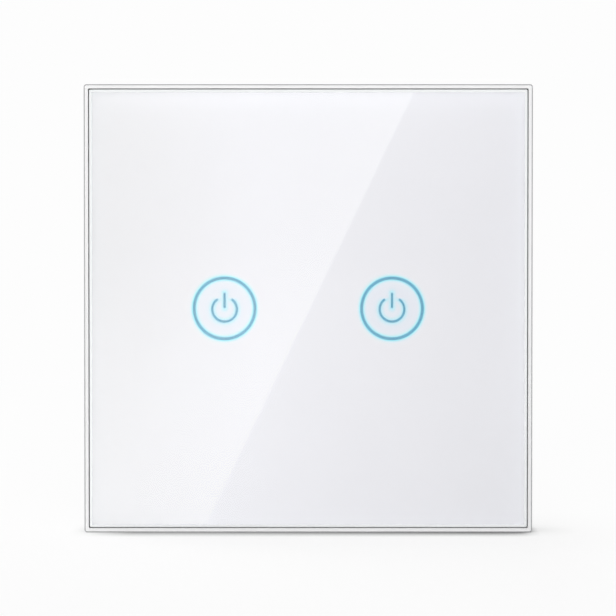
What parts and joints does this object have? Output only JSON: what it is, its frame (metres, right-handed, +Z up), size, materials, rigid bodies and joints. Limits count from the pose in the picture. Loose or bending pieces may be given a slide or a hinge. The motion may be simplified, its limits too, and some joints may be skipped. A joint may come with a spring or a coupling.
{
  "type": "smart light switch",
  "caption": "Square glass touch light switch for a wall box, with glowing ring keys, a pull-off front and a wireless power unit with screw clamps behind it.",
  "frame": {"origin": "midway between the two wall box screws, on the face of the wall", "axes": "+X to the right seen from the room, +Y into the wall, +Z up; the glass faces -Y"},
  "size_m": [0.086, 0.036, 0.086],
  "materials": {
    "clear_glass": "polished toughened glass",
    "white_print": "even white print",
    "icon_window": "clear print windows, lit blue-cyan from behind",
    "clear_tape": "translucent acrylic tape",
    "white_rim": "white moulded plastic, semi-gloss",
    "milky_guide": "milky diffusing plastic",
    "white_cup": "white reflector plastic",
    "spring_steel": "nickel-plated spring wire",
    "touch_laminate": "white solder mask on glass laminate",
    "lamp_body": "lamp with a yellow phosphor",
    "black_chip": "black moulded package",
    "zinc_screw": "zinc-plated steel",
    "black_header": "black moulded insulator",
    "gold_pin": "gold-plated pins",
    "white_frame": "white flame-retardant plastic, satin",
    "grey_cover": "thin insulating plate",
    "white_housing": "white flame-retardant plastic, satin",
    "power_laminate": "green solder mask on glass laminate",
    "radio_laminate": "dark blue solder mask",
    "tin_can": "tin-plated can",
    "green_block": "green moulded terminal block",
    "brass_contact": "bare brass",
    "zinc_cage": "zinc-plated steel",
    "relay_case": "black moulded relay case",
    "relay_base": "dark moulded base",
    "copper_coil": "enamelled copper wire",
    "soft_iron": "plated soft iron",
    "ferrite": "grey ferrite",
    "yellow_winding": "yellow winding tape",
    "can_sleeve": "aluminium can in a dark sleeve",
    "film_box": "yellow moulded box",
    "blue_disc": "blue epoxy coat",
    "fuse_tube": "moulded fuse body"
  },
  "bodies": {
    "wall_unit": {"base_frame": "white_frame", "inner_cover": "grey_cover", "rear_housing": "white_housing", "housing_screws": "zinc_screw", "power_board": "power_laminate", "header_socket": "black_header", "radio_board": "radio_laminate", "radio_shield": "tin_can", "terminal_body": "green_block", "terminal_contacts": "brass_contact", "transformer_core": "ferrite", "transformer_winding": "yellow_winding", "bulk_capacitors": "can_sleeve", "output_capacitor": "can_sleeve", "film_capacitor": "film_box", "varistor": "blue_disc", "fuse": "fuse_tube", "line_choke": "ferrite", "rectifier": "black_chip", "supply_chip": "black_chip", "left_relay_case": "relay_case", "left_relay_base": "relay_base", "left_relay_coil": "copper_coil", "left_relay_yoke": "soft_iron", "left_relay_contact": "brass_contact", "right_relay_case": "relay_case", "right_relay_base": "relay_base", "right_relay_coil": "copper_coil", "right_relay_yoke": "soft_iron", "right_relay_contact": "brass_contact"},
    "front_panel": {"glass_panel": "clear_glass", "printed_film": "white_print", "left_icon": "icon_window", "right_icon": "icon_window", "adhesive_tape": "clear_tape", "front_bezel": "white_rim", "left_light_guide": "milky_guide", "right_light_guide": "milky_guide", "left_light_cup": "white_cup", "right_light_cup": "white_cup", "left_touch_spring": "spring_steel", "right_touch_spring": "spring_steel", "touch_board": "touch_laminate", "indicator_leds": "lamp_body", "touch_controller": "black_chip", "board_screws": "zinc_screw", "header_body": "black_header", "header_pins": "gold_pin"},
    "line_terminal_screw": {"line_terminal_screw": "zinc_screw"},
    "line_clamp_cage": {"line_clamp_cage": "zinc_cage"},
    "neutral_terminal_screw": {"neutral_terminal_screw": "zinc_screw"},
    "neutral_clamp_cage": {"neutral_clamp_cage": "zinc_cage"},
    "load_one_terminal_screw": {"load_one_terminal_screw": "zinc_screw"},
    "load_one_clamp_cage": {"load_one_clamp_cage": "zinc_cage"},
    "load_two_terminal_screw": {"load_two_terminal_screw": "zinc_screw"},
    "load_two_clamp_cage": {"load_two_clamp_cage": "zinc_cage"},
    "left_relay_armature": {"left_relay_armature": "soft_iron"},
    "right_relay_armature": {"right_relay_armature": "soft_iron"}
  },
  "joints": [
    {"name": "front_panel_pull", "type": "slide", "parent": "wall_unit", "child": "front_panel", "axis": [0, -1, 0], "range_m": [0, 0.025]},
    {"name": "line_screw_turn", "type": "hinge", "parent": "wall_unit", "child": "line_terminal_screw", "pos_m": [-0.01125, 0.017, -0.0188], "axis": [0, -1, 0], "range_deg": [0, 1440]},
    {"name": "line_cage_lift", "type": "slide", "parent": "wall_unit", "child": "line_clamp_cage", "axis": [0, 1, 0], "range_m": [0, 0.002]},
    {"name": "neutral_screw_turn", "type": "hinge", "parent": "wall_unit", "child": "neutral_terminal_screw", "pos_m": [-0.00375, 0.017, -0.0188], "axis": [0, -1, 0], "range_deg": [0, 1440]},
    {"name": "neutral_cage_lift", "type": "slide", "parent": "wall_unit", "child": "neutral_clamp_cage", "axis": [0, 1, 0], "range_m": [0, 0.002]},
    {"name": "load_one_screw_turn", "type": "hinge", "parent": "wall_unit", "child": "load_one_terminal_screw", "pos_m": [0.00375, 0.017, -0.0188], "axis": [0, -1, 0], "range_deg": [0, 1440]},
    {"name": "load_one_cage_lift", "type": "slide", "parent": "wall_unit", "child": "load_one_clamp_cage", "axis": [0, 1, 0], "range_m": [0, 0.002]},
    {"name": "load_two_screw_turn", "type": "hinge", "parent": "wall_unit", "child": "load_two_terminal_screw", "pos_m": [0.01125, 0.017, -0.0188], "axis": [0, -1, 0], "range_deg": [0, 1440]},
    {"name": "load_two_cage_lift", "type": "slide", "parent": "wall_unit", "child": "load_two_clamp_cage", "axis": [0, 1, 0], "range_m": [0, 0.002]},
    {"name": "left_relay_rock", "type": "hinge", "parent": "wall_unit", "child": "left_relay_armature", "pos_m": [-0.0079, 0.01875, -0.0074], "axis": [0, 0, 1], "range_deg": [0, 2.9], "stiffness_Nm_per_rad": 0.002, "springref_deg": -11.46},
    {"name": "right_relay_rock", "type": "hinge", "parent": "wall_unit", "child": "right_relay_armature", "pos_m": [0.0121, 0.01875, -0.0074], "axis": [0, 0, 1], "range_deg": [0, 2.9], "stiffness_Nm_per_rad": 0.002, "springref_deg": -11.46}
  ],
  "couplings": [
    {"joint": "line_screw_turn", "follows": "line_cage_lift", "rad_per_m": 12566},
    {"joint": "neutral_screw_turn", "follows": "neutral_cage_lift", "rad_per_m": 12566},
    {"joint": "load_one_screw_turn", "follows": "load_one_cage_lift", "rad_per_m": 12566},
    {"joint": "load_two_screw_turn", "follows": "load_two_cage_lift", "rad_per_m": 12566}
  ]
}
